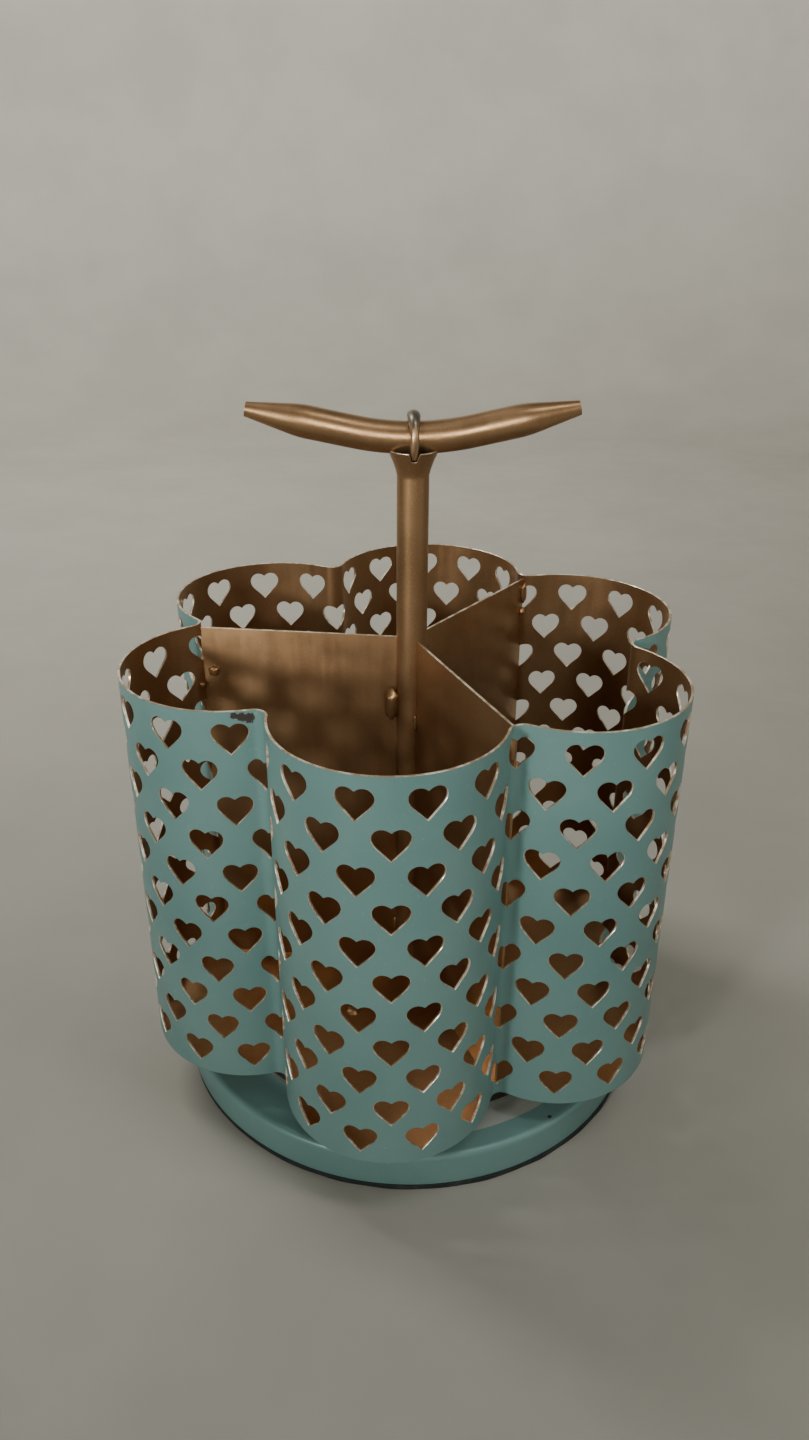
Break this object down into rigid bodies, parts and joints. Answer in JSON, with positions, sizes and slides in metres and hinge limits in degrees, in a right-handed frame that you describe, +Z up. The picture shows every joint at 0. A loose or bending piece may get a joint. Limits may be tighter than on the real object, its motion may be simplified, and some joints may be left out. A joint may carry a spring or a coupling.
{
  "type": "rotating tool caddy",
  "caption": "Desk caddy with a scalloped wall of heart-shaped holes, dividers and a post with a bowed handle, turning on a round base.",
  "frame": {"origin": "on the turning axis, on the surface that the foot ring stands on", "axes": "+Z up along the post; +Y through the middle of a lobe; +X through the cusp between two lobes"},
  "size_m": [0.1738, 0.19, 0.2351],
  "materials": {
    "mint_paint": "satin sprayed enamel, pale mint, outside of the wall and the base pan",
    "copper_paint": "satin metallic copper enamel, inside of the wall, dividers, floor, post and handle",
    "bronze_wire": "drawn wire under a thin copper enamel, darker on top",
    "zinc_plate": "zinc plated pressed steel",
    "bright_steel": "polished bearing steel",
    "white_nylon": "natural nylon",
    "rubber_foot": "matt dark rubber"
  },
  "bodies": {
    "base": {"foot_ring": "rubber_foot", "base_pan": "mint_paint", "lower_race": "zinc_plate", "race_rivets": "zinc_plate", "pivot_bush": "white_nylon"},
    "bearing_cage": {"ball_cage": "white_nylon", "bearing_balls": "bright_steel"},
    "carousel": {"upper_race": "zinc_plate", "floor_rivets": "copper_paint", "floor_plate": "copper_paint", "wall_lobe_1": "mint_paint", "wall_lobe_2": "mint_paint", "wall_lobe_3": "mint_paint", "wall_lobe_4": "mint_paint", "wall_lobe_5": "mint_paint", "wall_lobe_6": "mint_paint", "divider_1": "copper_paint", "divider_2": "copper_paint", "divider_3": "copper_paint", "weld_beads": "copper_paint", "post_tube": "copper_paint", "handle_bar": "copper_paint", "eye_bolt": "bronze_wire", "washer": "zinc_plate", "lock_nut": "zinc_plate"}
  },
  "joints": [
    {"name": "carousel_spin", "type": "hinge", "parent": "base", "child": "carousel", "pos_m": [0, 0, 0.0191], "axis": [0, 0, 1], "continuous": true},
    {"name": "cage_spin", "type": "hinge", "parent": "base", "child": "bearing_cage", "pos_m": [0, 0, 0.0191], "axis": [0, 0, 1], "continuous": true}
  ],
  "couplings": [
    {"joint": "cage_spin", "follows": "carousel_spin", "ratio": 0.5}
  ]
}
